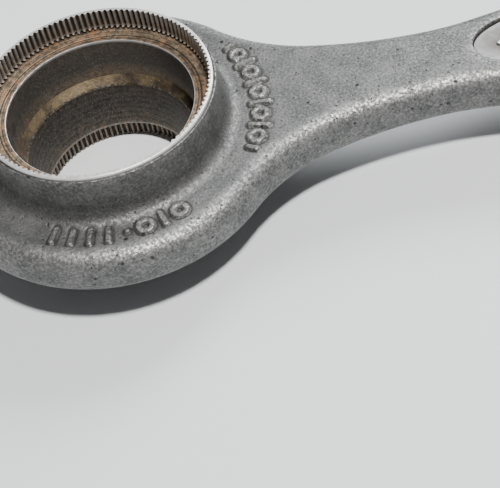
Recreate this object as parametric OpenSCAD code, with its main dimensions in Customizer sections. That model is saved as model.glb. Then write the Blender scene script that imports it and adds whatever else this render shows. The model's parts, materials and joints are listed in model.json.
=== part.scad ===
// Double-ended case back opener for fluted screw-down watch case backs.
// A cast wrench body carries four pressed-in fluted steel dies, one on each face of each head,
// and a blank oval name plate on each side of the handle.
// The tool lies flat on its lower dies: +Z is up, the handle runs along X, and the origin
// is under the middle of the overall length.

/* [Sockets] */
// Case back size of the upper die in the left head, at the middle of the flutes
left_upper_size = 26.5; // [21:0.1:32]
// Case back size of the lower die in the left head
left_lower_size = 20.2; // [16.5:0.1:24.5]
// Case back size of the upper die in the right head
right_upper_size = 28.3; // [23:0.1:34]
// Case back size of the lower die in the right head
right_lower_size = 22.5; // [18.5:0.1:27]
// Distance from one flute to the next, round the socket
flute_pitch = 0.694; // [0.55:0.001:0.9]
// Radial height of a flute
flute_rise = 0.36; // [0.25:0.01:0.45]
// Share of the pitch taken by the land on a flute's tip
tip_share = 0.36; // [0.3:0.01:0.5]
// Length of the flutes, along the socket
flute_length = 2.6; // [1.6:0.1:3.4]
// Height of the relief groove between the flutes and the ledge
relief_height = 0.25; // [0.15:0.05:0.5]

/* [Dies] */
// Flat rim outside the flute roots
rim_land = 0.22; // [0.2:0.01:0.8]
// How far the upper ledge reaches inward from the middle of the flutes
upper_ledge = 2.2; // [1:0.1:2.8]
// How far the lower ledge reaches inward from the middle of the flutes
lower_ledge = 1.05; // [0.7:0.05:1.6]
// How much narrower the throat between two dies is than the upper die's bore
throat_step = 0.85; // [0.4:0.05:1.2]
// How far a die stands proud of the casting around it
die_proud = 0.35; // [0.2:0.05:0.8]
// Chamfer that leads a die into its seat
lead_chamfer = 0.4; // [0.2:0.1:0.8]

/* [Heads] */
// Height of a head, from lower rim to upper rim
head_height = 18; // [15:0.5:22]
// Width of the flat flange outside a die
flange_width = 6.95; // [5.5:0.05:9]
// Wall of the boss round the top of a die
boss_lip = 0.3; // [0.25:0.05:1]
// Draft of the boss wall, in degrees
boss_draft = 5; // [1:0.5:8]
// Fillet between a boss and the flange
boss_fillet = 1.8; // [0.8:0.1:2.2]
// Thickness of the web between the two die seats of a head
web_thickness = 1.2; // [0.8:0.1:2.5]

/* [Handle] */
// Distance between the two socket axes
head_spacing = 110; // [95:1:140]
// Thickness of the handle and the flanges
plate_thickness = 6; // [5:0.1:7.4]
// Chamfer along the edges of the handle and the flanges
edge_chamfer = 1.3; // [0.5:0.1:2]
// Width of the handle at each waist
waist_width = 11; // [9:0.1:13]
// Distance from the middle of the handle to each waist; more on a handle too long for it to meet the necks
waist_offset = 15; // [13:0.5:18]
// Width at the middle of the handle
paddle_width = 13.8; // [13.6:0.1:16.5]
// Radius of the hollow where the handle leaves a head
neck_radius = 22; // [16:1:30]
// Radius of the long hollow at each waist; less where the handle's middle leaves no room for it
waist_radius = 55; // [45:1:70]

/* [Name plates] */
// Length of the oval pocket
oval_length = 22; // [18:0.5:26]
// Width of the oval pocket
oval_width = 9.6; // [8:0.1:11]
// Depth of the oval pocket
oval_depth = 0.9; // [0.6:0.05:1.4]
// Thickness of a name plate
name_plate_thickness = 0.4; // [0.3:0.05:0.5]
// Gap round a name plate
name_plate_gap = 0.1; // [0.05:0.01:0.2]
// Height of the raised pattern on a name plate
pattern_height = 0.2; // [0.1:0.05:0.3]

/* [Raised marks] */
// Distance from a die to the middle of the marks beside the handle
side_mark_offset = 3.2; // [2.9:0.1:3.6]
// Distance from a die to the middle of the row of marks across the handle's root
root_mark_offset = 4.6; // [4:0.1:5]
// Length of a bar beside the handle, outward
side_bar_length = 2.4; // [1.6:0.1:2.6]
// Length of a bar across the handle's root, outward
root_bar_length = 2.8; // [2:0.1:3]
// Outer diameter of a raised ring
ring_size = 2.2; // [1.8:0.1:2.4]
// Width of a bar and of a ring's line
mark_width = 0.65; // [0.5:0.05:0.8]
// Height of a mark above the flange
mark_height = 0.3; // [0.2:0.05:0.5]

/* [Hidden] */
$fn = 96;
overlap = 0.02;            // lets a cut run past the face it opens
outside = 1;               // how far a cutter reaches out of what it cuts
spare = 1.5;               // material left beyond the outline of a block before its edge is cut
bite = 0.05;               // arcs of the outline run this far into each other where they meet
relief_extra = 0.05;       // the relief groove is this much deeper than the flute roots
root_flat = 0.12;          // flat at the bottom of the groove between two flutes
oval_step = 5;             // degrees from one point of the oval to the next
side_marks = ["ring", "bar", "ring", "dot", "bar", "bar", "bar", "bar"];
side_start = -66;          // degrees from the handle to the first mark beside it
side_step = 7;             // degrees from one mark beside the handle to the next
root_step = 5.6;           // degrees from one mark across the handle's root to the next
root_marks = 5;            // marks on each side of the middle of that row
neck_margin = 0.95;        // share of the distance from a head at which its neck still meets the waist
paddle_margin = 0.85;      // share of the largest hollow that still leaves room for the handle's middle
end_share = 0.6;           // length of that row's two end bars, as a share of the others
cone_share = 0.8;          // share of the web's thickness that the cone at its upper edge takes
lozenge_share = 0.4;       // side of a raised lozenge, as a share of the oval's width
lozenge_spacing = 1.45;    // distance from one lozenge to the next, in lozenge sides

mid_z = head_height / 2;
half_plate = plate_thickness / 2;
half_web = web_thickness / 2;
plate_top = mid_z + half_plate;
boss_top = mid_z - die_proud;             // above the middle plane
die_height = mid_z - half_web;

// Radii of a socket of a given case back size
function tip_radius(size) = size / 2 - flute_rise / 2;
function root_radius(size) = size / 2 + flute_rise / 2;
function flute_count(size) = round(PI * size / flute_pitch);
// Both dies of a head share the outer radius that the larger one needs
function die_radius(upper, lower) = root_radius(max(upper, lower)) + rim_land;
// Bore of an upper die, and the throat of the web under it
function mouth_radius(upper) = upper / 2 - upper_ledge;
function throat_radius(upper) = mouth_radius(upper) - throat_step;
function head_radius(upper, lower) = die_radius(upper, lower) + flange_width;

left_die_r = die_radius(left_upper_size, left_lower_size);
right_die_r = die_radius(right_upper_size, right_lower_size);
left_head_r = left_die_r + flange_width;
right_head_r = right_die_r + flange_width;
overall_length = left_head_r + head_spacing + right_head_r;
left_x = left_head_r - overall_length / 2;
right_x = left_x + head_spacing;
handle_x = (left_x + right_x) / 2;

// Arc centres of one quarter of the handle's outline, from the axis of a head of radius r
function unit(v) = v / norm(v);
bulge = (paddle_width - waist_width) / 2;
hollow_radius = min(waist_radius, paddle_margin * (waist_offset ^ 2 + bulge ^ 2) / (2 * bulge));
waist_y = waist_width / 2 + hollow_radius;
neck_reach = sqrt((min(left_head_r, right_head_r) + hollow_radius) ^ 2 - waist_y ^ 2);
waist_x = min(head_spacing / 2 - waist_offset, neck_margin * neck_reach);
from_middle = head_spacing / 2 - waist_x;
waist_centre = [waist_x, waist_y];
function neck_centre(r) =
    let (to_head = r + neck_radius - bite, to_waist = hollow_radius - neck_radius + bite)
    let (d = norm(waist_centre), u = unit(waist_centre))
    let (along = (to_head ^ 2 - to_waist ^ 2 + d ^ 2) / (2 * d))
    let (across = sqrt(to_head ^ 2 - along ^ 2))
    along * u + across * [u[1], -u[0]];
paddle_radius = (from_middle ^ 2 + bulge ^ 2) / (2 * bulge) - hollow_radius + bite;
paddle_centre = [head_spacing / 2, paddle_width / 2 - paddle_radius];

// ---------------------------------------------------------------- wrench body

// Disc of the plate's thickness with chamfered edges, about the middle plane
module plate_disc(r) {
    inner = r - edge_chamfer;
    straight = half_plate - edge_chamfer;
    rotate_extrude()
        polygon([[0, -half_plate], [inner, -half_plate], [r, -straight], [r, straight],
                 [inner, half_plate], [0, half_plate]]);
}

// Spool that cuts a hollow of radius r with chamfered edges into the side of the plate
module plate_hollow(r) {
    straight = half_plate - edge_chamfer;
    wide = r + edge_chamfer + outside;
    beyond = half_plate + outside;
    rotate_extrude()
        polygon([[0, -beyond], [wide, -beyond], [r, -straight], [r, straight], [wide, beyond], [0, beyond]]);
}

// Block of the plate over an outline that starts and ends on the handle's axis
module plate_block(from_axis, outline, to_axis) {
    translate([0, 0, -half_plate])
        linear_extrude(plate_thickness)
            polygon(concat([[from_axis, 0]], outline, [[to_axis, 0]]));
}

// Point on the handle's axis on the line through two points
function axis_point(a, b) = a[0] - a[1] * (b[0] - a[0]) / (b[1] - a[1]);

// One quarter of the handle, from a head of radius r to the middle of the handle.
// Three blocks each take one arc of the outline, and each block's end lies inside its neighbour.
module handle_quarter(r) {
    neck = neck_centre(r);
    leave = unit(neck) * (r + spare);
    first = neck + unit(neck - waist_centre) * (neck_radius - spare);
    second = waist_centre + unit(paddle_centre - waist_centre) * (hollow_radius - spare);
    difference() {
        plate_block(0, [leave, first], axis_point(waist_centre, neck));
        translate(neck) plate_hollow(neck_radius);
    }
    difference() {
        plate_block(r, [[r, waist_width / 2 + 2 * spare], second], axis_point(waist_centre, paddle_centre));
        translate(waist_centre) plate_hollow(hollow_radius);
    }
    intersection() {
        plate_block(second[0] - spare, [[second[0] - spare, paddle_width / 2 + spare],
                                        [head_spacing / 2, paddle_width / 2 + spare]], head_spacing / 2);
        translate(paddle_centre) plate_disc(paddle_radius);
    }
}

module handle_half(r) {
    handle_quarter(r);
    mirror([0, 1, 0]) handle_quarter(r);
}

// Boss on one face, from the middle plane up, with a drafted wall and a fillet at its foot
module boss(die_r) {
    top_r = die_r + boss_lip;
    centre_z = half_plate + boss_fillet;
    centre_r = top_r + (boss_top - centre_z) * tan(boss_draft) + boss_fillet / cos(boss_draft);
    touch = [centre_r - boss_fillet * cos(boss_draft), centre_z - boss_fillet * sin(boss_draft)];
    rotate_extrude()
        difference() {
            polygon([[0, 0], [centre_r, 0], [centre_r, half_plate], touch, [top_r, boss_top], [0, boss_top]]);
            translate([centre_r, centre_z]) circle(boss_fillet);
        }
}

module head(upper, lower) {
    r = die_radius(upper, lower);
    plate_disc(head_radius(upper, lower));
    boss(r);
    mirror([0, 0, 1]) boss(r);
}

// Die seats and the throat through a head
module head_bores(upper, lower) {
    r = die_radius(upper, lower);
    throat = throat_radius(upper);
    cone = web_thickness * cone_share;
    translate([0, 0, half_web]) cylinder(r = r, h = mid_z);
    translate([0, 0, -half_web - mid_z]) cylinder(r = r, h = mid_z);
    translate([0, 0, -mid_z]) cylinder(r = throat, h = head_height);
    translate([0, 0, half_web - cone]) cylinder(r1 = throat, r2 = mouth_radius(upper), h = cone);
}

// Oval of the name plates, grown or shrunk all round
module oval(grow) {
    polygon([for (turn = [0:oval_step:359])
        [(oval_length / 2 + grow) * cos(turn), (oval_width / 2 + grow) * sin(turn)]]);
}

// Bar, ring or dot standing on the flange, at a distance and an angle from the socket's axis
module raised_mark(shape, distance, angle, length) {
    rotate([0, 0, angle])
        translate([distance, 0, half_plate - overlap])
            if (shape == "bar")
                translate([-length / 2, -mark_width / 2, 0])
                    cube([length, mark_width, mark_height + overlap]);
            else if (shape == "dot")
                cylinder(r = mark_width / 2, h = mark_height + overlap);
            else
                difference() {
                    cylinder(r = ring_size / 2, h = mark_height + overlap);
                    translate([0, 0, -overlap])
                        cylinder(r = ring_size / 2 - mark_width, h = mark_height + 3 * overlap);
                }
}

// Raised marks of one face, with the handle toward +X: some of side_marks, then the row across the root
module face_marks(die_r, used) {
    for (i = [0:used - 1])
        raised_mark(side_marks[i], die_r + side_mark_offset, side_start - i * side_step, side_bar_length);
    for (i = [-root_marks:root_marks])
        raised_mark(abs(i) % 2 == 1 ? "bar" : "ring", die_r + root_mark_offset, i * root_step,
                    root_bar_length * (abs(i) == root_marks ? end_share : 1));
}

// A head with the marks of its two faces, with the handle toward +X
module marked_head(upper, lower, upper_marks, lower_marks) {
    r = die_radius(upper, lower);
    head(upper, lower);
    face_marks(r, upper_marks);
    mirror([0, 0, 1]) face_marks(r, lower_marks);
}

module wrench_body() {
    color([0.62, 0.62, 0.60])
    difference() {
        union() {
            translate([left_x, 0, mid_z]) {
                marked_head(left_upper_size, left_lower_size, 8, 7);
                handle_half(left_head_r);
            }
            translate([right_x, 0, mid_z]) mirror([1, 0, 0]) {
                marked_head(right_upper_size, right_lower_size, 8, 6);
                handle_half(right_head_r);
            }
        }
        translate([left_x, 0, mid_z]) head_bores(left_upper_size, left_lower_size);
        translate([right_x, 0, mid_z]) head_bores(right_upper_size, right_lower_size);
        for (up = [-1, 1])
            translate([handle_x, 0, up > 0 ? plate_top - oval_depth : mid_z - half_plate - outside])
                linear_extrude(oval_depth + outside)
                    oval(0);
    }
}

// ----------------------------------------------------------------------- dies

// Outline of a fluted socket: a round bore with a V groove between every two flutes
module flute_outline(size) {
    count = flute_count(size);
    tip = tip_radius(size);
    root = root_radius(size);
    mouth = (1 - tip_share) * PI * size / count;
    circle(tip);
    for (i = [0:count - 1])
        rotate(i * 360 / count)
            polygon([[tip - relief_extra, -mouth / 2], [root, -root_flat / 2],
                     [root, root_flat / 2], [tip - relief_extra, mouth / 2]]);
}

// A die standing on its seat with its mouth up. Its bore runs from foot_r at the seat to ledge_r.
module die(size, blank_r, foot_r, ledge_r) {
    ledge_z = die_height - flute_length - relief_height;
    difference() {
        rotate_extrude()
            difference() {
                polygon([[foot_r, 0], [blank_r - lead_chamfer, 0], [blank_r, lead_chamfer],
                         [blank_r, die_height], [ledge_r, die_height], [ledge_r, ledge_z]]);
                translate([0, ledge_z])
                    square([root_radius(size) + relief_extra, relief_height + overlap]);
            }
        translate([0, 0, ledge_z + relief_height])
            linear_extrude(flute_length + outside)
                flute_outline(size);
    }
}

module upper_die(size, blank_r) {
    mouth = mouth_radius(size);
    translate([0, 0, mid_z + half_web])
        die(size, blank_r, mouth, mouth);
}

// upper is the size of the die above it, which sets the throat between them
module lower_die(size, upper, blank_r) {
    translate([0, 0, mid_z - half_web])
        mirror([0, 0, 1])
            die(size, blank_r, throat_radius(upper) + relief_extra, size / 2 - lower_ledge);
}

module upper_die_left() {
    color([0.55, 0.43, 0.33]) translate([left_x, 0, 0]) upper_die(left_upper_size, left_die_r);
}

module lower_die_left() {
    color([0.50, 0.42, 0.35]) translate([left_x, 0, 0]) lower_die(left_lower_size, left_upper_size, left_die_r);
}

module upper_die_right() {
    color([0.55, 0.43, 0.33]) translate([right_x, 0, 0]) upper_die(right_upper_size, right_die_r);
}

module lower_die_right() {
    color([0.50, 0.42, 0.35]) translate([right_x, 0, 0]) lower_die(right_lower_size, right_upper_size, right_die_r);
}

// ---------------------------------------------------------------- name plates

// Blank plate lying on its pocket's floor, with a raised pattern of lozenges
module name_plate() {
    lozenge = oval_width * lozenge_share;
    linear_extrude(name_plate_thickness)
        oval(-name_plate_gap);
    for (i = [-1, 0, 1])
        translate([i * lozenge * lozenge_spacing, 0, name_plate_thickness - overlap])
            rotate([0, 0, 45])
                translate([-lozenge / 2, -lozenge / 2, 0])
                    cube([lozenge, lozenge, pattern_height + overlap]);
}

module name_plate_top() {
    color([0.66, 0.66, 0.65])
        translate([handle_x, 0, plate_top - oval_depth])
            name_plate();
}

module name_plate_underside() {
    color([0.66, 0.66, 0.65])
        translate([handle_x, 0, mid_z - half_plate + oval_depth])
            mirror([0, 0, 1])
                name_plate();
}

wrench_body();
upper_die_left();
lower_die_left();
upper_die_right();
lower_die_right();
name_plate_top();
name_plate_underside();
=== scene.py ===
"""Looks of the double-ended case back opener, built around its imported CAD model.

A detailed cast body, four fluted steel dies and two blank name plates replace the CAD solids.
Shapes are worked out in millimetres, in the frame's own axes, and turned into metres at the end.
"""

import json
import math

import bmesh
import bpy
import numpy as np
from mathutils import Matrix, Vector, noise
from mathutils.geometry import delaunay_2d_cdt


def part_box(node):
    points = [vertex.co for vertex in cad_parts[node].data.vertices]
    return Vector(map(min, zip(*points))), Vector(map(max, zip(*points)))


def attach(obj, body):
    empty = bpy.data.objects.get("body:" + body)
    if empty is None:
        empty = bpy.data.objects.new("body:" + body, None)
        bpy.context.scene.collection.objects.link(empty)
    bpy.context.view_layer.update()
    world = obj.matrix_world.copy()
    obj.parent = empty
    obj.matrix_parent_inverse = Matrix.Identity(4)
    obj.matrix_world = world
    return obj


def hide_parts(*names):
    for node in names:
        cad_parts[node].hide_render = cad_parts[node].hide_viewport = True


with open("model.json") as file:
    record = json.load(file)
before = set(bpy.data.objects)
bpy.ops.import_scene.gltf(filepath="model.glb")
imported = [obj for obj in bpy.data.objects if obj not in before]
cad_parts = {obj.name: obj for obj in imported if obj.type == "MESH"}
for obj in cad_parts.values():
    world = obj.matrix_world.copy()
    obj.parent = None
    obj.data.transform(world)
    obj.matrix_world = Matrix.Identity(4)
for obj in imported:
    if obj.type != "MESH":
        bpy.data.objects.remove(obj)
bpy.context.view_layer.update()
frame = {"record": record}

MM = 0.001

# ------------------------------------------------------------------ sizes, in millimetres


def box_mm(name):
    low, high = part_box(name)
    return np.array(low) / MM, np.array(high) / MM


def socket_tip_radius(mount_name):
    mounts = {mount["name"]: mount for mount in frame["record"]["mounts"]}
    return mounts[mount_name]["dims"]["r_mm"]


def mouth_radius(hand):
    """Bore of a head's upper die."""
    return socket_tip_radius(f"socket_{hand}_upper") + FLUTE_RISE / 2 - UPPER_LEDGE


body_low, body_high = box_mm("wrench_body")
left_low, left_high = box_mm("upper_die_left")
right_low, right_high = box_mm("upper_die_right")
plate_low, plate_high = box_mm("name_plate_top")

left_x = (left_low[0] + left_high[0]) / 2
right_x = (right_low[0] + right_high[0]) / 2
handle_x = (left_x + right_x) / 2
left_die_radius = (left_high[0] - left_low[0]) / 2
right_die_radius = (right_high[0] - right_low[0]) / 2
left_head_radius = left_x - body_low[0]
right_head_radius = body_high[0] - right_x
top_z = left_high[2]
mid_z = top_z / 2
half_web = left_low[2] - mid_z
die_height = top_z - left_low[2]
boss_top = body_high[2] - mid_z

PLATE_THICKNESS = 6.0
EDGE_RADIUS = 2.3
NECK_RADIUS = 22.0
WAIST_RADIUS = 55.0
WAIST_WIDTH = 11.0
WAIST_OFFSET = 15.0
PADDLE_WIDTH = 13.8
half_plate = PLATE_THICKNESS / 2

BOSS_LIP = 0.3
BOSS_DRAFT = math.radians(5)
BOSS_FILLET = 1.8
LIP_ROUNDING = 0.1
SEAT_CHAMFER = 0.12
WEB_CONE = 0.96

FLUTE_PITCH = 0.694
FLUTE_RISE = 0.36
FLUTE_LENGTH = 2.6
RELIEF_HEIGHT = 0.25
RELIEF_EXTRA = 0.05
UPPER_LEDGE = 2.2
LOWER_LEDGE = 1.05
THROAT_STEP = 0.85
LEAD_CHAMFER = 0.4
SEAT_GAP = 0.015
RIM_ROUNDING = 0.07
TIP_WEAR = 0.06
ROOT_BURR = 0.1
LEDGE_EDGE = 0.1
LEDGE_STEP = 0.07

OVAL_GAP = 0.1
OVAL_DEPTH = 0.9
OVAL_RIM = 0.28
PATTERN_HEIGHT = 0.2
LOZENGE_SHARE = 0.4
LOZENGE_SPACING = 1.45

SIDE_MARK_OFFSET = 3.2
ROOT_MARK_OFFSET = 4.6
SIDE_BAR_LENGTH = 2.4
ROOT_BAR_LENGTH = 2.8
RING_SIZE = 2.2
MARK_WIDTH = 0.65
MARK_HEIGHT = 0.3
SIDE_MARKS = ("ring", "bar", "ring", "dot", "bar", "bar", "bar", "bar")
SIDE_START = -66.0
SIDE_STEP = 7.0
ROOT_STEP = 5.6
ROOT_MARKS = 5
END_SHARE = 0.6
MARK_SLOPE = 0.2
SKIRT_WIDTH = 0.16
SKIRT_DEPTH = 0.04

FLANGE_ROWS = 34
ROOT_REACH = 2.0
REACH_GAP = 0.15

# The casting's unevenness: its depth, its waves to a millimetre, and how far apart the faces' patterns are
CASTING_WAVE = 0.04
FACE_WAVES = 0.13
EDGE_WAVES = 0.22
FACE_PATTERN = 9
FACE_STEP = 1.5
POINT_MARGIN = 0.5


# ------------------------------------------------------------------ mesh building


class Shell:
    """Points, faces and per-point masks of one piece, which become one closed mesh."""

    # The masks paint each point: bright with wear and painted highlights, dark with painted shade and dirt
    # in hollows, and rusty.
    MASKS = ("wear", "cavity", "rust")

    def __init__(self):
        self.points = []
        self.faces = []
        self.masks = {name: [] for name in self.MASKS}

    def add(self, points, wear=0.0, cavity=0.0, rust=0.0):
        """Adds points and returns their numbers."""
        first = len(self.points)
        self.points.extend(tuple(p) for p in points)
        count = len(self.points) - first
        for name, value in zip(self.MASKS, (wear, cavity, rust)):
            self.masks[name].extend(np.broadcast_to(value, count).tolist())
        return list(range(first, first + count))

    def bridge(self, a, b):
        """Joins two closed rings that have the same number of points."""
        count = len(a)
        for i in range(count):
            j = (i + 1) % count
            self.faces.append((a[i], a[j], b[j], b[i]))

    def chain(self, rings):
        """Joins each closed ring to the next and returns the last."""
        for a, b in zip(rings, rings[1:]):
            self.bridge(a, b)
        return rings[-1]

    def bridge_coarse(self, fine, coarse):
        """Joins a closed ring to one with a whole number of times fewer points."""
        ratio = len(fine) // len(coarse)
        for i in range(len(coarse)):
            j = (i + 1) % len(coarse)
            stretch = [fine[(i * ratio + k) % len(fine)] for k in range(ratio + 1)]
            self.faces.append(tuple(stretch) + (coarse[j], coarse[i]))

    def fill(self, outer, holes=(), extra=()):
        """Fills the flat region inside one ring and outside others, using extra points within it."""
        loops = [outer] + list(holes)
        numbers = [n for loop in loops for n in loop] + list(extra)
        flat = [Vector(self.points[n][:2]) for n in numbers]
        edges = []
        start = 0
        for loop in loops:
            edges += [(start + i, start + (i + 1) % len(loop)) for i in range(len(loop))]
            start += len(loop)
        found, _, triangles, originals, _, _ = delaunay_2d_cdt(flat, edges, [], 0, 1e-6, True)
        rings = [np.array([self.points[n][:2] for n in loop]) for loop in loops]
        centres = np.array([[sum(found[v][k] for v in t) / 3 for k in (0, 1)] for t in triangles])
        kept = inside(rings[0], centres)
        for ring in rings[1:]:
            kept &= ~inside(ring, centres)
        for t, keep in zip(triangles, kept):
            if keep:
                self.faces.append(tuple(numbers[originals[v][0]] for v in t))

    def build(self, name, material, smooth_angle=40.0):
        """Makes the object, with its faces turned outward and its masks as attributes."""
        mesh = bpy.data.meshes.new(name)
        mesh.from_pydata([Vector(p) * MM for p in self.points], [], self.faces)
        work = bmesh.new()
        work.from_mesh(mesh)
        bmesh.ops.recalc_face_normals(work, faces=work.faces)
        work.to_mesh(mesh)
        work.free()
        for mask, values in self.masks.items():
            layer = mesh.attributes.new(mask, "FLOAT", "POINT")
            layer.data.foreach_set("value", values)
        mesh.shade_smooth()
        mesh.set_sharp_from_angle(angle=math.radians(smooth_angle))
        mesh.materials.append(material)
        piece = bpy.data.objects.new(name, mesh)
        bpy.context.scene.collection.objects.link(piece)
        return piece


def inside(ring, points):
    """Which points lie inside a closed ring, by counting the edges to their right."""
    result = np.zeros(len(points), bool)
    for (ax, ay), (bx, by) in zip(ring, np.roll(ring, -1, axis=0)):
        crosses = (ay > points[:, 1]) != (by > points[:, 1])
        if ay != by:
            at = ax + (points[:, 1] - ay) / (by - ay) * (bx - ax)
            result ^= crosses & (points[:, 0] < at)
    return result


def smooth_step(value):
    t = np.clip(value, 0, 1)
    return t * t * (3 - 2 * t)


def wave(x, y, z, scale):
    """Smooth noise between 0 and 1."""
    return 0.5 + 0.5 * noise.noise(Vector((x, y, z)) * scale)


def face_wave(x, y, side):
    return wave(x, y, side * FACE_PATTERN, FACE_WAVES)


# ------------------------------------------------------------------ outline of the plate


def unit(v):
    return v / np.hypot(*v)


def turn_of(v):
    return math.atan2(v[1], v[0])


def arc(centre, radius, start, end, hollow, spacing=0.6):
    """Points and outward normals along an arc, without its last point."""
    count = max(2, round(abs(end - start) * radius / spacing))
    turns = start + (end - start) * np.arange(count) / count
    normals = np.stack([np.cos(turns), np.sin(turns)], 1)
    return np.concatenate([centre + radius * normals, -normals if hollow else normals], 1)


def neck_and_waist(radius):
    """Centres of the hollow arcs of the handle's waist and neck, from the centre of the head beside them."""
    reach = (right_x - left_x) / 2
    waist = np.array([reach - WAIST_OFFSET, WAIST_WIDTH / 2 + WAIST_RADIUS])
    to_head = radius + NECK_RADIUS
    to_waist = WAIST_RADIUS - NECK_RADIUS
    span = np.hypot(*waist)
    along = (to_head**2 - to_waist**2 + span**2) / (2 * span)
    across = math.sqrt(to_head**2 - along**2)
    u = unit(waist)
    return waist, along * u + across * np.array([u[1], -u[0]])


def handle_quarter(radius):
    """Outline from a head's far point to the middle of the handle, from the head's centre, +X inward."""
    reach = (right_x - left_x) / 2
    waist, neck = neck_and_waist(radius)
    bulge = (PADDLE_WIDTH - WAIST_WIDTH) / 2
    paddle_radius = (WAIST_OFFSET**2 + bulge**2 - 2 * bulge * WAIST_RADIUS) / (2 * bulge)
    paddle = np.array([reach, PADDLE_WIDTH / 2 - paddle_radius])
    leave = turn_of(neck)
    join = turn_of(neck - waist)
    swell = turn_of(paddle - waist)
    return np.concatenate(
        [
            arc(np.zeros(2), radius, math.pi, leave, False),
            arc(neck, NECK_RADIUS, leave - math.pi, join, True),
            arc(waist, WAIST_RADIUS, join, swell, True),
            arc(paddle, paddle_radius, swell + math.pi, math.pi / 2, False),
        ]
    )


def plate_outline():
    """Closed outline of the plate: points and outward normals."""
    left = handle_quarter(left_head_radius) + [left_x, 0, 0, 0]
    right = handle_quarter(right_head_radius) * [-1, 1, -1, 1] + [right_x, 0, 0, 0]
    middle = np.array([[handle_x, PADDLE_WIDTH / 2, 0, 1]])
    far_side = np.concatenate([left, middle, right[::-1]])
    near_side = far_side[1:-1][::-1] * [1, -1, 1, -1]
    return np.concatenate([far_side, near_side])


# ------------------------------------------------------------------ raised marks


def shape_distance(shape, x, y, middle, angle, length):
    """Distance outside a bar, ring or dot whose middle is at a distance and an angle from the axis."""
    c, s = math.cos(angle), math.sin(angle)
    along = x * c + y * s - middle
    across = y * c - x * s
    if shape == "bar":
        past_end = np.maximum(np.abs(along) - (length - MARK_WIDTH) / 2, 0)
        return np.hypot(past_end, across) - MARK_WIDTH / 2
    away = np.hypot(along, across)
    if shape == "dot":
        return away - MARK_WIDTH / 2
    return np.abs(away - (RING_SIZE - MARK_WIDTH) / 2) - MARK_WIDTH / 2


def mark_distance(x, y, die_radius, used):
    """Distance from the nearest raised mark of a head's face."""
    nearest = np.full(x.shape, 99.0)
    for i in range(used):
        angle = math.radians(SIDE_START - i * SIDE_STEP)
        away = shape_distance(SIDE_MARKS[i], x, y, die_radius + SIDE_MARK_OFFSET, angle, SIDE_BAR_LENGTH)
        nearest = np.minimum(nearest, away)
    for i in range(-ROOT_MARKS, ROOT_MARKS + 1):
        shape = "bar" if i % 2 == 1 else "ring"
        length = ROOT_BAR_LENGTH * (END_SHARE if abs(i) == ROOT_MARKS else 1)
        middle = die_radius + ROOT_MARK_OFFSET
        away = shape_distance(shape, x, y, middle, math.radians(i * ROOT_STEP), length)
        nearest = np.minimum(nearest, away)
    return nearest


# ------------------------------------------------------------------ wrench body


def head_turns():
    """Angles round a head: close together across the raised marks, wider elsewhere."""
    fine = math.radians(0.45)
    wide = math.radians(2.5)
    marked = [(math.radians(-34), math.radians(34)), (math.radians(-122), math.radians(-58))]
    turns = []
    turn = -math.pi
    while turn < math.pi - fine / 2:
        turns.append(turn)
        close = any(a - 1e-9 <= turn < b - 1e-9 for a, b in marked)
        turn += fine if close else wide
    return np.array(turns)


def fillet_centre(die_radius):
    """Centre of the fillet at a boss's foot: radius, and height above the middle plane."""
    height = half_plate + BOSS_FILLET
    lean = (boss_top - height) * math.tan(BOSS_DRAFT)
    return die_radius + BOSS_LIP + lean + BOSS_FILLET / math.cos(BOSS_DRAFT), height


def boss_profile(die_radius, start):
    """(radius, height, bright wear, painted shade) up a boss from a radius on its fillet, over its lip and
    down its seat. Its fillet, wall and seat are painted darker with shade.

    Heights are from the middle plane.
    """
    centre_r, centre_z = fillet_centre(die_radius)
    top_radius = die_radius + BOSS_LIP
    first = -math.pi / 2 - math.asin((centre_r - start) / BOSS_FILLET)
    last = -math.pi + BOSS_DRAFT
    rows = []
    steps = 7
    for i in range(1, steps + 1):
        a = first + (last - first) * i / steps
        rows.append((centre_r + BOSS_FILLET * math.cos(a), centre_z + BOSS_FILLET * math.sin(a), 0.0, 0.45))
    wall_r, wall_z = rows[-1][:2]
    for share in (0.35, 0.7):
        r = wall_r + (top_radius - wall_r) * share
        rows.append((r, wall_z + (boss_top - wall_z) * share, 0.0, 0.45))
    rows += [
        (top_radius, boss_top - LIP_ROUNDING, 0.3, 0.5),
        (top_radius - 0.3 * LIP_ROUNDING, boss_top - 0.3 * LIP_ROUNDING, 0.6, 0.5),
        (top_radius - LIP_ROUNDING, boss_top, 0.5, 0.5),
        (die_radius + SEAT_CHAMFER, boss_top, 0.2, 0.8),
        (die_radius, boss_top - SEAT_CHAMFER, 0.0, 1.0),
        (die_radius, half_web, 0.0, 1.0),
    ]
    return rows


def throat_profile(mouth):
    """(radius, height, bright wear, painted shade) of the web between the two seats: its cone's edge is worn
    bright and its throat painted darker with shade.
    """
    throat = mouth - THROAT_STEP
    edge = half_web - WEB_CONE
    return [
        (mouth, half_web, 0.0, 0.2),
        (throat + 0.1, edge + 0.11, 0.1, 0.2),
        (throat + 0.02, edge + 0.02, 1.0, 0.0),
        (throat, edge - 0.06, 0.8, 0.0),
        (throat, -half_web, 0.0, 0.6),
    ]


def flange_reach(head_radius, turns):
    """How far out a head's marked flange goes at each angle: to the rounded edge, or on into the handle."""
    neck = neck_and_waist(head_radius)[1]
    from_leave = np.maximum(turn_of(neck) - np.abs(turns), 0)
    along = np.hypot(*neck) * np.cos(from_leave)
    across = np.hypot(*neck) * np.sin(from_leave)
    to_edge = along - np.sqrt(np.maximum((NECK_RADIUS + EDGE_RADIUS) ** 2 - across**2, 0))
    return np.minimum(to_edge - REACH_GAP, head_radius - EDGE_RADIUS + ROOT_REACH)


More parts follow.
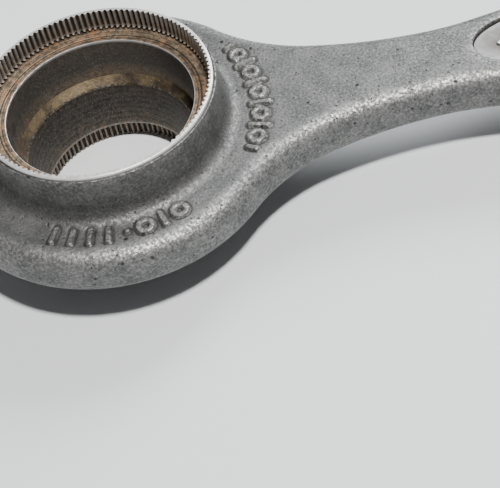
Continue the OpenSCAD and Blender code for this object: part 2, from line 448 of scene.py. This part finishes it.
def build_head(shell, x0, inward, die_radius, head_radius, mouth, upper_marks, lower_marks):
    """Adds a head's bosses, seats, throat and marked flanges. Returns the flange rings of both faces."""
    turns = head_turns()
    cos, sin = np.cos(turns), np.sin(turns)
    centre_r, centre_z = fillet_centre(die_radius)

    def ring(radius, z, wear=0.0, cavity=0.0, rust=0.0):
        points = np.stack([x0 + inward * radius * cos, radius * sin, np.full(len(turns), mid_z + z)], 1)
        return shell.add(points, wear, cavity, rust)

    # The flange grid starts a little way up the fillet.
    start = centre_r - 0.55 * BOSS_FILLET
    reach = flange_reach(head_radius, turns)
    flange_rings = {}
    inner = {}
    for side, marks in ((1, upper_marks), (-1, lower_marks)):
        rings = []
        for k in range(FLANGE_ROWS + 1):
            share = k / FLANGE_ROWS
            radius = start + (reach - start) * share
            x, y = radius * cos, radius * sin
            up_fillet = np.maximum(centre_r - radius, 0)
            rise = BOSS_FILLET - np.sqrt(BOSS_FILLET**2 - up_fillet**2)
            away = mark_distance(x, y, die_radius, marks)
            raised = smooth_step(0.5 - away / MARK_SLOPE)
            # Round each raised mark's foot a shallow dip is painted dark: painted shade with dirt.
            skirt = np.exp(-(((away - MARK_SLOPE) / SKIRT_WIDTH) ** 2))
            waves = np.array([face_wave(x0 + inward * a, b, side) for a, b in zip(x, y)])
            fade = smooth_step(share * 5) * smooth_step((1 - share) * 5)
            z = half_plate + rise + np.maximum(MARK_HEIGHT - rise, 0) * raised
            z -= (SKIRT_DEPTH * skirt + CASTING_WAVE * waves) * fade
            # The flange next to the boss's fillet is painted darker with shade.
            foot = smooth_step((centre_r + 1.2 - radius) / 2.2)
            rings.append(ring(radius, side * z, raised, np.maximum(skirt, 0.3 * foot)))
        inner[side] = rings[0]
        flange_rings[side] = shell.chain(rings)

    boss = boss_profile(die_radius, start)
    upper = [ring(radius, z, wear, cavity) for radius, z, wear, cavity in boss]
    throat = [ring(radius, z, wear, cavity, 1.0) for radius, z, wear, cavity in throat_profile(mouth)]
    lower = [ring(radius, -z, wear, cavity) for radius, z, wear, cavity in reversed(boss)]
    shell.chain([inner[1]] + upper + throat + lower + [inner[-1]])
    return flange_rings


def edge_reach(outline):
    """How far the rounded edge reaches in over the face at each point: less beside the ovals."""
    beside = smooth_step((16 - np.abs(outline[:, 0] - handle_x)) / 10)
    return EDGE_RADIUS * (1 - 0.36 * beside)


def edge_rows():
    """(share of the reach, height, brightness) of the plate's rounded edge, from the upper face down. The
    bright band partway round each edge is wear with a painted highlight.
    """
    steps = 8
    upper = []
    for i in range(steps + 1):
        a = math.pi / 2 * i / steps
        inset = 1 - math.sin(a)
        rise = half_plate - EDGE_RADIUS * (1 - math.cos(a))
        upper.append((inset, rise, math.exp(-(((i / steps - 0.42) / 0.25) ** 2))))
    return upper + [(inset, -rise, wear) for inset, rise, wear in reversed(upper)]


def oval_ring(grow, steps=120):
    """Points round the oval, grown all round by an amount."""
    half_length = (plate_high[0] - plate_low[0]) / 2 + OVAL_GAP
    half_width = (plate_high[1] - plate_low[1]) / 2 + OVAL_GAP
    turns = np.arange(steps) * math.tau / steps
    x, y = half_length * np.cos(turns), half_width * np.sin(turns)
    nx, ny = half_width * np.cos(turns), half_length * np.sin(turns)
    size = np.hypot(nx, ny)
    return np.stack([x + grow * nx / size, y + grow * ny / size], 1)


def build_pocket(shell, side):
    """Adds the oval pocket of one face and returns the ring where its rim meets the face."""
    # Rows of (grow, depth, brightness, darkness): the rim's rounding is worn bright with a painted
    # highlight, and the walls and floor are painted dark with shade and dirt.
    rows = [
        (OVAL_RIM, 0.0, 0.5, 0.0),
        (OVAL_RIM * 0.5, -0.06 * OVAL_RIM, 1.0, 0.0),
        (OVAL_RIM * 0.13, -0.4 * OVAL_RIM, 1.0, 0.1),
        (0.0, -OVAL_RIM, 0.5, 0.5),
        (0.0, -OVAL_DEPTH + 0.1, 0.0, 1.0),
        (-0.1, -OVAL_DEPTH, 0.0, 1.0),
    ]
    rings = []
    for grow, depth, wear, cavity in rows:
        z = mid_z + side * (half_plate + depth)
        points = [(handle_x + x, y, z) for x, y in oval_ring(grow)]
        rings.append(shell.add(points, wear, cavity))
    shell.fill(shell.chain(rings))
    return rings[0]


def face_points(shell, side, outline, discs, oval):
    """Adds a scatter of points over the rest of a face, which carry the casting's unevenness."""
    xs = np.arange(body_low[0], body_high[0], FACE_STEP)
    ys = np.arange(body_low[1], body_high[1], FACE_STEP)
    grid = np.array([(x + (j % 2) * FACE_STEP / 2, y) for j, y in enumerate(ys) for x in xs])
    kept = inside(outline, grid)
    for ring in discs:
        kept &= ~inside(ring, grid)
    kept &= ~inside(oval, grid)
    points = []
    for x, y in grid[kept]:
        z = mid_z + side * (half_plate - CASTING_WAVE * face_wave(x, y, side))
        points.append((x, y, z))
    return shell.add(points)


def grown(ring, amount):
    """A closed ring moved outward from its middle by about an amount, for keeping points off its edge."""
    middle = ring.mean(0)
    away = ring - middle
    return ring + amount * away / np.hypot(away[:, 0], away[:, 1])[:, None]


def build_wrench_body(material):
    shell = Shell()
    left_mouth = mouth_radius("left")
    right_mouth = mouth_radius("right")
    left = build_head(shell, left_x, 1, left_die_radius, left_head_radius, left_mouth, 8, 7)
    right = build_head(shell, right_x, -1, right_die_radius, right_head_radius, right_mouth, 8, 6)
    outline = plate_outline()
    reach = edge_reach(outline)
    rings = []
    for share, z, wear in edge_rows():
        points = []
        for (x, y, nx, ny), far in zip(outline, reach):
            inset = far * share + CASTING_WAVE * wave(x, y, z, EDGE_WAVES)
            points.append((x - nx * inset, y - ny * inset, mid_z + z))
        rings.append(shell.add(points, wear=wear))
    shell.chain(rings)
    for side, edge in ((1, rings[0]), (-1, rings[-1])):
        rim = build_pocket(shell, side)
        holes = [left[side], right[side], rim]
        flat = [np.array([shell.points[n][:2] for n in ring]) for ring in [edge] + holes]
        within = flat[0] - outline[:, 2:] * POINT_MARGIN
        around = [grown(ring, POINT_MARGIN) for ring in flat[1:]]
        extra = face_points(shell, side, within, around[:2], around[2])
        shell.fill(edge, holes, extra)
    return shell.build("wrench_casting", material)


# ------------------------------------------------------------------ dies

POINTS_PER_FLUTE = 12
COARSE_POINTS = 3


def tooth(count):
    """How far toward the groove's root each point round the flutes lies, from 0 on a tip to 1."""
    place = np.arange(count * POINTS_PER_FLUTE) / POINTS_PER_FLUTE
    from_tip = np.abs(place - np.round(place))
    rise = np.clip((from_tip - 0.12) / 0.3, 0, 1)
    return 0.45 * rise + 0.55 * smooth_step(rise)


def build_die(name, x0, up, tip_radius, blank_radius, bore, foot, grooves, shine, material):
    """A fluted die on its seat. up is 1 for an upper die and -1 for a lower one.

    bore is the radius inside its ledge, foot the radius of its bore at the seat, and shine how bright its
    flutes and the ledge's edge are, with wear and with painted highlights.
    """
    size = 2 * tip_radius + FLUTE_RISE
    count = round(math.pi * size / FLUTE_PITCH)
    root_radius = tip_radius + FLUTE_RISE
    wave_in = tooth(count)
    flutes = tip_radius + FLUTE_RISE * wave_in
    turns = np.arange(count * POINTS_PER_FLUTE) * math.tau / (count * POINTS_PER_FLUTE)
    coarse_turns = turns[:: POINTS_PER_FLUTE // COARSE_POINTS]
    shell = Shell()

    def ring(radius, height, wear=0.0, cavity=0.0, rust=0.0, coarse=False):
        used = coarse_turns if coarse else turns
        r = np.broadcast_to(radius, used.shape)
        z = np.full(used.shape, mid_z + up * (half_web + height))
        return shell.add(np.stack([x0 + r * np.cos(used), r * np.sin(used), z], 1), wear, cavity, rust)

    # The blank's wall goes up from its lead-in chamfer to the rim, and over it to the flutes.
    outer = blank_radius - SEAT_GAP
    ledge_z = die_height - FLUTE_LENGTH - RELIEF_HEIGHT
    flute_foot = ledge_z + RELIEF_HEIGHT
    first = ring(outer - LEAD_CHAMFER, 0.0, coarse=True)
    wall_foot = ring(outer, LEAD_CHAMFER, coarse=True)
    shell.bridge(first, wall_foot)
    wall_top = ring(outer, die_height - RIM_ROUNDING, 0.7)
    shell.bridge_coarse(wall_top, wall_foot)
    on_tip = 1 - wave_in
    rim_inner = tip_radius + TIP_WEAR + (FLUTE_RISE - TIP_WEAR - ROOT_BURR) * wave_in
    # Each row is (radius, height, brightness, darkness). The rim is worn bright, the flute tips and the burr
    # at their feet are bright with wear and a painted highlight, and the grooves and relief are painted dark
    # with shade.
    fine = [
        (outer - 0.02, die_height - 0.02, 1.0, 0.0),
        (outer - RIM_ROUNDING, die_height, 1.0, 0.0),
        (rim_inner, die_height, 1.0, 0.0),
        (0.5 * (rim_inner + flutes), die_height - 0.04, 0.9, 0.0),
        (flutes, die_height - 0.08, 0.3 * shine * on_tip, 0.85 * wave_in),
        (flutes, flute_foot + 0.6, 0.22 * shine * on_tip, 0.85 * wave_in),
        (flutes - 0.02 * on_tip, flute_foot + 0.34, 0.4 * shine * on_tip, 0.85 * wave_in),
        (flutes - 0.10 * on_tip, flute_foot + 0.14, shine * (1.0 - 0.7 * wave_in), 0.7 * wave_in),
        (flutes - 0.09 * on_tip, flute_foot + 0.05, shine * (0.9 - 0.6 * wave_in), 0.2 + 0.6 * wave_in),
        (flutes, flute_foot, 0.0, 1.0),
        (root_radius + RELIEF_EXTRA, flute_foot, 0.0, 1.0),
    ]
    fine_rings = [ring(radius, height, wear, cavity, 0.4) for radius, height, wear, cavity in fine]
    relief_top = shell.chain([wall_top] + fine_rings)
    relief_floor = ring(root_radius + RELIEF_EXTRA, ledge_z, 0.0, 1.0, 1.0, coarse=True)
    shell.bridge_coarse(relief_top, relief_floor)

    # The ledge is turned, with shallow concentric grooves, and its inner edge is worn bright.
    # Its grooves and a band next to the flutes are painted dark with shade.
    rings = [relief_floor]
    width = root_radius - bore - LEDGE_EDGE
    steps = round(width / LEDGE_STEP)
    for i in range(steps + 1):
        r = root_radius - width * i / steps
        dip = sum(
            depth * math.exp(-(((r - size / 2 + inset) / spread) ** 2)) for inset, spread, depth in grooves
        )
        dark = min(1.0, dip / 0.05)
        shade = 0.75 * math.exp(-(((r - root_radius) / 0.35) ** 2))
        rings.append(ring(r, ledge_z - dip, 0.0, max(dark, shade), 1.0, coarse=True))
    # The bore below the ledge is painted darker with shade.
    for radius, height, wear, cavity, rust in (
        (bore + 0.05, ledge_z, 0.7 * shine, 0.0, 0.5),
        (bore + 0.012, ledge_z - 0.015, shine, 0.0, 0.5),
        (bore, ledge_z - 0.06, 0.6 * shine, 0.0, 0.5),
        (bore + (foot - bore) * 0.08, ledge_z - 0.4, 0.0, 0.45, 0.2),
        (bore + (foot - bore) * 0.6, ledge_z * 0.4, 0.0, 0.55, 0.0),
        (foot, 0.0, 0.0, 0.6 - 0.35 * shine, 0.8 * shine),
    ):
        rings.append(ring(radius, height, wear, cavity, rust, coarse=True))
    shell.chain(rings + [first])
    return shell.build(name, material, smooth_angle=50)


# ------------------------------------------------------------------ name plates


def build_name_plate(name, side, material):
    """A blank oval plate with a bevelled edge and three raised lozenges."""
    thickness = plate_high[2] - plate_low[2] - PATTERN_HEIGHT
    floor = mid_z + side * (half_plate - OVAL_DEPTH)
    shell = Shell()

    def ring(flat, height, wear=0.0, cavity=0.0):
        return shell.add([(handle_x + x, y, floor + side * height) for x, y in flat], wear, cavity)

    # Rows of (grow, height, brightness, darkness): the seam at the plate's foot is painted dark with dirt
    # and shade, and the bevel bright with wear and a painted highlight.
    rows = [
        (-OVAL_GAP, 0.0, 0.0, 1.0),
        (-OVAL_GAP, thickness - 0.12, 0.3, 0.6),
        (-OVAL_GAP - 0.05, thickness - 0.03, 1.0, 0.0),
        (-OVAL_GAP - 0.14, thickness, 0.8, 0.0),
        (-OVAL_GAP - 0.4, thickness, 0.0, 0.0),
    ]
    rings = [ring(oval_ring(grow), height, wear, cavity) for grow, height, wear, cavity in rows]
    shell.chain(rings)
    shell.fill(rings[0])
    pocket_width = plate_high[1] - plate_low[1] + 2 * OVAL_GAP
    lozenge = pocket_width * LOZENGE_SHARE
    holes = []
    for i in (-1, 0, 1):
        centre = i * lozenge * LOZENGE_SPACING
        loops = []
        # Each lozenge's foot is painted dark with shade, and its top edge bright with wear and a painted
        # highlight.
        for inset, height, wear, cavity in (
            (0.0, thickness, 0.0, 0.9),
            (0.05, thickness + PATTERN_HEIGHT * 0.7, 0.3, 0.3),
            (0.12, thickness + PATTERN_HEIGHT, 1.0, 0.0),
            (0.3, thickness + PATTERN_HEIGHT, 0.2, 0.0),
        ):
            half = lozenge / math.sqrt(2) - inset * math.sqrt(2)
            corners = [(half, 0), (0, half), (-half, 0), (0, -half)]
            flat = []
            for (ax, ay), (bx, by) in zip(corners, corners[1:] + corners[:1]):
                flat += [(centre + ax + (bx - ax) * t / 8, ay + (by - ay) * t / 8) for t in range(8)]
            loops.append(ring(flat, height, wear, cavity))
        shell.fill(shell.chain(loops))
        holes.append(loops[0])
    shell.fill(rings[-1], holes)
    return shell.build(name, material)


# ------------------------------------------------------------------ materials


class Nodes:
    """Short ways to build a node material in millimetre coordinates."""

    def __init__(self, name):
        self.material = bpy.data.materials.new(name)
        self.material.use_nodes = True
        self.tree = self.material.node_tree
        self.shader = self.tree.nodes["Principled BSDF"]
        coordinates = self.tree.nodes.new("ShaderNodeTexCoord")
        self.place = self.mapped(coordinates.outputs["Object"], (1 / MM,) * 3)

    def link(self, source, socket):
        if isinstance(source, (int, float)):
            socket.default_value = source
        elif isinstance(source, tuple):
            socket.default_value = (*source, 1.0) if len(source) == 3 else source
        else:
            self.tree.links.new(source, socket)

    def mapped(self, vector, scale, location=(0, 0, 0)):
        node = self.tree.nodes.new("ShaderNodeMapping")
        self.tree.links.new(vector, node.inputs["Vector"])
        node.inputs["Scale"].default_value = scale
        node.inputs["Location"].default_value = location
        return node.outputs["Vector"]

    def noise(self, scale, detail=3.0, roughness=0.55, vector=None, distortion=0.0):
        node = self.tree.nodes.new("ShaderNodeTexNoise")
        self.tree.links.new(vector or self.place, node.inputs["Vector"])
        node.inputs["Scale"].default_value = scale
        node.inputs["Detail"].default_value = detail
        node.inputs["Roughness"].default_value = roughness
        node.inputs["Distortion"].default_value = distortion
        return node.outputs["Fac"]

    def pits(self, scale, rarity, size):
        """Scattered round pits: 1 in the middle of each and 0 outside. Few cells hold a large one."""
        node = self.tree.nodes.new("ShaderNodeTexVoronoi")
        wobble = self.noise(scale * 2.5, 2.0)
        self.tree.links.new(self.place, node.inputs["Vector"])
        node.inputs["Scale"].default_value = scale
        radius = self.remap(node.outputs["Color"], rarity, 1.0, 0.001, size)
        near = self.math("DIVIDE", node.outputs["Distance"], radius)
        return self.remap(self.math("ADD", near, wobble), 1.1, 1.6, 1.0, 0.0)

    def rings(self, vector, scale):
        """Fine rings round the Z axis, as a lathe tool leaves."""
        node = self.tree.nodes.new("ShaderNodeTexWave")
        node.wave_type = "RINGS"
        node.rings_direction = "Z"
        self.tree.links.new(vector, node.inputs["Vector"])
        node.inputs["Scale"].default_value = scale
        node.inputs["Distortion"].default_value = 1.5
        node.inputs["Detail"].default_value = 3.0
        return node.outputs["Fac"]

    def attribute(self, name):
        node = self.tree.nodes.new("ShaderNodeAttribute")
        node.attribute_name = name
        return node.outputs["Fac"]

    def remap(self, value, low, high, to_low=0.0, to_high=1.0):
        node = self.tree.nodes.new("ShaderNodeMapRange")
        node.interpolation_type = "SMOOTHSTEP"
        for socket, given in zip(node.inputs, (value, low, high, to_low, to_high)):
            self.link(given, socket)
        return node.outputs["Result"]

    def math(self, operation, a, b=0.5):
        node = self.tree.nodes.new("ShaderNodeMath")
        node.operation = operation
        self.link(a, node.inputs[0])
        self.link(b, node.inputs[1])
        return node.outputs["Value"]

    def mix(self, share, a, b, blend="MIX"):
        node = self.tree.nodes.new("ShaderNodeMix")
        node.data_type = "RGBA"
        node.blend_type = blend
        self.link(share, node.inputs["Factor"])
        self.link(a, node.inputs[6])
        self.link(b, node.inputs[7])
        return node.outputs[2]

    def bump(self, height, distance, strength=1.0, normal=None):
        node = self.tree.nodes.new("ShaderNodeBump")
        node.inputs["Distance"].default_value = distance * MM
        node.inputs["Strength"].default_value = strength
        self.link(height, node.inputs["Height"])
        if normal is not None:
            self.tree.links.new(normal, node.inputs["Normal"])
        return node.outputs["Normal"]

    def finish(self, colour, roughness, metallic, normal):
        self.link(colour, self.shader.inputs["Base Color"])
        self.link(roughness, self.shader.inputs["Roughness"])
        self.link(metallic, self.shader.inputs["Metallic"])
        self.link(normal, self.shader.inputs["Normal"])
        return self.material


def cast_metal():
    """Dull grey casting: mottled and pitted, painted dark with shade and dirt in its corners and pits, and
    bright where worn and where a painted highlight runs along its edges.
    """
    n = Nodes("cast_metal")
    mottle = n.noise(0.35, 4.0, 0.6)
    grain = n.noise(3.0, 3.0, 0.6)
    fine = n.noise(8.0, 2.0, 0.6)
    cavity = n.attribute("cavity")
    wear = n.attribute("wear")
    colour = n.mix(n.remap(mottle, 0.35, 0.65), (0.115, 0.117, 0.117), (0.17, 0.17, 0.167))
    colour = n.mix(n.remap(grain, 0.5, 0.66, 0.0, 0.45), colour, (0.3, 0.296, 0.288))
    colour = n.mix(n.remap(grain, 0.46, 0.34, 0.0, 0.45), colour, (0.05, 0.049, 0.047))
    colour = n.mix(n.remap(fine, 0.54, 0.64, 0.0, 0.6), colour, (0.045, 0.044, 0.042))
    # Pits and specks are painted dark, as painted shade with dirt in them.
    pits = n.pits(0.9, 0.42, 0.27)
    specks = n.pits(1.9, 0.3, 0.3)
    colour = n.mix(n.math("MULTIPLY", pits, 0.9), colour, (0.022, 0.021, 0.02))
    colour = n.mix(n.math("MULTIPLY", specks, 0.8), colour, (0.035, 0.033, 0.031))
    # Hollows are painted dark, as painted shade with dirt, more in some places than others.
    painted_shade_and_dirt = n.math("MULTIPLY", cavity, n.remap(n.noise(0.8, 3.0), 0.3, 0.6, 0.6, 0.95))
    colour = n.mix(painted_shade_and_dirt, colour, (0.03, 0.027, 0.024))
    rusty = n.mix(n.remap(n.noise(0.5, 3.0), 0.35, 0.65), (0.05, 0.037, 0.025), (0.15, 0.113, 0.066))
    colour = n.mix(n.attribute("rust"), colour, rusty)
    # Worn edges and raised marks are painted bright, and so is a painted highlight along the plate's rounded
    # edges.
    speckle = n.remap(n.noise(2.8, 3.0, 0.7), 0.47, 0.6)
    worn_and_highlit = n.math("MULTIPLY", wear, speckle)
    colour = n.mix(n.math("MULTIPLY", worn_and_highlit, 0.6), colour, (0.5, 0.49, 0.475))
    roughness = n.remap(grain, 0.35, 0.65, 0.66, 0.5)
    roughness = n.math("SUBTRACT", roughness, n.math("MULTIPLY", worn_and_highlit, 0.15))
    height = n.math("ADD", grain, n.math("MULTIPLY", fine, 0.4))
    height = n.math("SUBTRACT", height, n.math("MULTIPLY", n.math("MAXIMUM", pits, specks), 0.9))
    normal = n.bump(height, 0.06, 0.8)
    return n.finish(colour, roughness, 0.8, normal)


def die_steel(name, x0):
    """Turned and fluted steel, brown with oxide and bright on its rim and edges."""
    n = Nodes(name)
    about_axis = n.mapped(n.place, (1, 1, 1), (-x0, 0, 0))
    rust = n.noise(1.5, 5.0, 0.65)
    patches = n.noise(0.45, 3.0, 0.55)
    speck = n.noise(5.5, 2.0, 0.6)
    turning = n.rings(about_axis, 2.0)
    cavity = n.attribute("cavity")
    wear = n.attribute("wear")
    brown = n.mix(n.remap(rust, 0.38, 0.62), (0.12, 0.088, 0.062), (0.30, 0.225, 0.15))
    orange = n.math("MULTIPLY", n.remap(patches, 0.42, 0.6), n.remap(rust, 0.46, 0.62))
    brown = n.mix(n.math("MULTIPLY", orange, 0.85), brown, (0.40, 0.17, 0.07))
    grey = n.mix(n.remap(rust, 0.35, 0.65), (0.045, 0.046, 0.047), (0.095, 0.093, 0.09))
    colour = n.mix(n.attribute("rust"), grey, brown)
    colour = n.mix(n.remap(speck, 0.56, 0.7, 0.0, 0.6), colour, (0.42, 0.38, 0.31))
    colour = n.mix(n.remap(speck, 0.45, 0.32, 0.0, 0.7), colour, (0.04, 0.032, 0.026))
    colour = n.mix(n.math("MULTIPLY", turning, 0.14), colour, (0.36, 0.30, 0.22))
    # Flute grooves, the relief, the ledge's grooves and the bore are painted dark with shade.
    colour = n.mix(n.math("MULTIPLY", cavity, 0.85), colour, (0.02, 0.017, 0.014))
    # The rim and the ledge's edge are worn bright, and the flute tips and the burr at their feet carry a
    # painted highlight.
    bright = n.math("MULTIPLY", wear, n.remap(n.noise(1.4, 3.0), 0.22, 0.4, 0.7, 1.0))
    colour = n.mix(bright, colour, (0.92, 0.91, 0.89))
    roughness = n.math("SUBTRACT", n.remap(rust, 0.3, 0.7, 0.45, 0.6), n.math("MULTIPLY", wear, 0.15))
    height = n.math("ADD", n.math("MULTIPLY", rust, 0.7), n.math("MULTIPLY", speck, 0.4))
    height = n.math("ADD", height, n.math("MULTIPLY", turning, 0.3))
    normal = n.bump(height, 0.03, 0.8)
    return n.finish(colour, roughness, 0.8, normal)


def plate_steel():
    """Smooth dull stamping with fine grain."""
    n = Nodes("plate_steel")
    mottle = n.noise(0.6, 4.0)
    grain = n.noise(6.0, 2.0)
    colour = n.mix(n.remap(mottle, 0.35, 0.65), (0.17, 0.168, 0.166), (0.25, 0.246, 0.243))
    colour = n.mix(n.remap(grain, 0.5, 0.7, 0.0, 0.4), colour, (0.3, 0.295, 0.29))
    # The seam round the plate and the lozenges' feet are painted dark with dirt and shade.
    colour = n.mix(n.math("MULTIPLY", n.attribute("cavity"), 0.8), colour, (0.07, 0.055, 0.045))
    wear = n.attribute("wear")
    # The bevel and the lozenges' top edges are bright with wear and a painted highlight.
    colour = n.mix(n.math("MULTIPLY", wear, 0.7), colour, (0.8, 0.79, 0.77))
    roughness = n.math("SUBTRACT", n.remap(grain, 0.3, 0.7, 0.42, 0.52), n.math("MULTIPLY", wear, 0.12))
    return n.finish(colour, roughness, 0.85, n.bump(grain, 0.015, 0.7))


def floor_paint():
    n = Nodes("studio_floor")
    tone = n.remap(n.noise(0.02, 2.0), 0.3, 0.7)
    colour = n.mix(tone, (0.60, 0.615, 0.625), (0.63, 0.64, 0.65))
    return n.finish(colour, 0.8, 0.0, n.bump(n.noise(1.5, 2.0), 0.01, 0.2))


# ------------------------------------------------------------------ pieces on their bodies


def place(piece, node_name, slot):
    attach(piece, "root")
    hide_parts(node_name)


# Turned grooves of a ledge: distance in from the middle of the flutes, width and depth
LEDGE_GROOVES = ((0.62, 0.05, 0.035), (1.35, 0.09, 0.06), (1.72, 0.06, 0.04))
NARROW_GROOVES = ((0.55, 0.05, 0.03),)
UPPER_SHINE = 1.0
LOWER_SHINE = 0.15

place(build_wrench_body(cast_metal()), "wrench_body", "cast_body")
for hand, x0, blank_radius in (("left", left_x, left_die_radius), ("right", right_x, right_die_radius)):
    steel = die_steel("die_steel_" + hand, x0)
    mouth = mouth_radius(hand)
    upper_tip = socket_tip_radius(f"socket_{hand}_upper")
    lower_tip = socket_tip_radius(f"socket_{hand}_lower")
    lower_bore = lower_tip + FLUTE_RISE / 2 - LOWER_LEDGE
    lower_foot = mouth - THROAT_STEP + RELIEF_EXTRA
    upper = build_die(
        f"upper_fluted_die_{hand}",
        x0,
        1,
        upper_tip,
        blank_radius,
        bore=mouth,
        foot=mouth,
        grooves=LEDGE_GROOVES,
        shine=UPPER_SHINE,
        material=steel,
    )
    lower = build_die(
        f"lower_fluted_die_{hand}",
        x0,
        -1,
        lower_tip,
        blank_radius,
        bore=lower_bore,
        foot=lower_foot,
        grooves=NARROW_GROOVES,
        shine=LOWER_SHINE,
        material=steel,
    )
    place(upper, f"upper_die_{hand}", "die_steel")
    place(lower, f"lower_die_{hand}", "die_steel")
stamping = plate_steel()
place(build_name_plate("blank_name_plate_top", 1, stamping), "name_plate_top", "plate_metal")
place(build_name_plate("blank_name_plate_underside", -1, stamping), "name_plate_underside", "plate_metal")


# ------------------------------------------------------------------ floor, light and camera


def add_floor():
    half = 1.5
    mesh = bpy.data.meshes.new("studio_floor")
    corners = [(-half, -half, 0), (half, -half, 0), (half, half, 0), (-half, half, 0)]
    mesh.from_pydata(corners, [], [(0, 1, 2, 3)])
    mesh.materials.append(floor_paint())
    floor = bpy.data.objects.new("studio_floor", mesh)
    bpy.context.scene.collection.objects.link(floor)


def add_area_light(name, place_m, aim_m, size_m, power, colour):
    data = bpy.data.lights.new(name, "AREA")
    data.shape = "DISK"
    data.size = size_m
    data.energy = power
    data.color = colour
    light = bpy.data.objects.new(name, data)
    light.location = place_m
    light.rotation_euler = (Vector(aim_m) - Vector(place_m)).to_track_quat("-Z", "Y").to_euler()
    bpy.context.scene.collection.objects.link(light)


def add_world():
    world = bpy.data.worlds.new("studio")
    world.use_nodes = True
    background = world.node_tree.nodes["Background"]
    background.inputs["Color"].default_value = (0.95, 0.97, 1.0, 1.0)
    background.inputs["Strength"].default_value = 0.17
    bpy.context.scene.world = world


def add_camera():
    """Camera at the reference view: it looks down on the left head, turned so the handle runs up right."""
    pitch = 0.8889793
    roll = 0.2114116
    from_socket = Vector((13.575, -101.792, 92.150))
    data = bpy.data.cameras.new("camera")
    data.sensor_fit = "HORIZONTAL"
    data.sensor_width = 36
    data.lens = 86.4
    data.clip_start = 0.005
    camera = bpy.data.objects.new("camera", data)
    forward = Vector((0, math.cos(pitch), -math.sin(pitch)))
    right = Vector((1, 0, 0))
    down = Vector((0, -math.sin(pitch), -math.cos(pitch)))
    across = math.cos(roll) * right + math.sin(roll) * down
    downward = math.cos(roll) * down - math.sin(roll) * right
    turn = Matrix((across, -downward, -forward)).transposed().to_4x4()
    place_m = (Vector((left_x, 0, top_z)) + from_socket) * MM
    camera.matrix_world = Matrix.Translation(place_m) @ turn
    bpy.context.scene.collection.objects.link(camera)
    bpy.context.scene.camera = camera


add_floor()
add_world()
target = Vector((left_x * MM + 0.02, 0, 0.01))
add_area_light("key", target + 0.8 * Vector((0.16, -0.27, 0.95)), target, 0.07, 12.5, (1.0, 0.99, 0.97))
add_area_light("soft_top", target + Vector((0.52, 0.62, 0.6)), target, 0.45, 14, (0.95, 0.98, 1.0))
add_camera()
